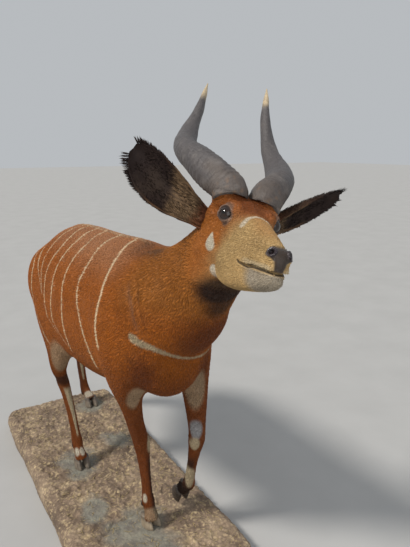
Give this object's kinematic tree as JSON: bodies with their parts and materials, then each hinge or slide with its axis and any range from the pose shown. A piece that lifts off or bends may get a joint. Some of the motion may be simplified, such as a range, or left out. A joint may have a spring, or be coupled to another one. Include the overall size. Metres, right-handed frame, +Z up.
{
  "type": "mounted bongo antelope",
  "caption": "Taxidermy mount of a bongo antelope, walking with one forefoot raised, spiral horns and white flank stripes, on a low groundwork base.",
  "frame": {"origin": "middle of the base's underside", "axes": "+Z up, the animal faces -Y, its left side is +X"},
  "size_m": [0.7013, 2.0732, 1.7135],
  "materials": {
    "coat": "short, flat chestnut coat with white stripes and patches",
    "ear_hair": "dark brown hair with a tan fringe",
    "tail_hair": "chestnut tail with a dark tuft",
    "eye": "glossy near black",
    "horn": "slate grey horn with ivory tips, low sheen",
    "hoof": "dark grey horn, low sheen",
    "groundwork": "rough straw and clay over a wooden core, with smooth grey stone patches"
  },
  "bodies": {
    "root": {"head": "coat", "neck": "coat", "torso": "coat", "leg_fore_left": "coat", "leg_fore_right": "coat", "leg_hind_left": "coat", "leg_hind_right": "coat", "ear_left": "ear_hair", "eye_left": "eye", "horn_left": "horn", "ear_right": "ear_hair", "eye_right": "eye", "horn_right": "horn", "tail": "tail_hair", "hoof_fore_left_inner": "hoof", "hoof_fore_left_outer": "hoof", "hoof_fore_right_inner": "hoof", "hoof_fore_right_outer": "hoof", "hoof_hind_left_inner": "hoof", "hoof_hind_left_outer": "hoof", "hoof_hind_right_inner": "hoof", "hoof_hind_right_outer": "hoof", "base": "groundwork"}
  },
  "joints": []
}
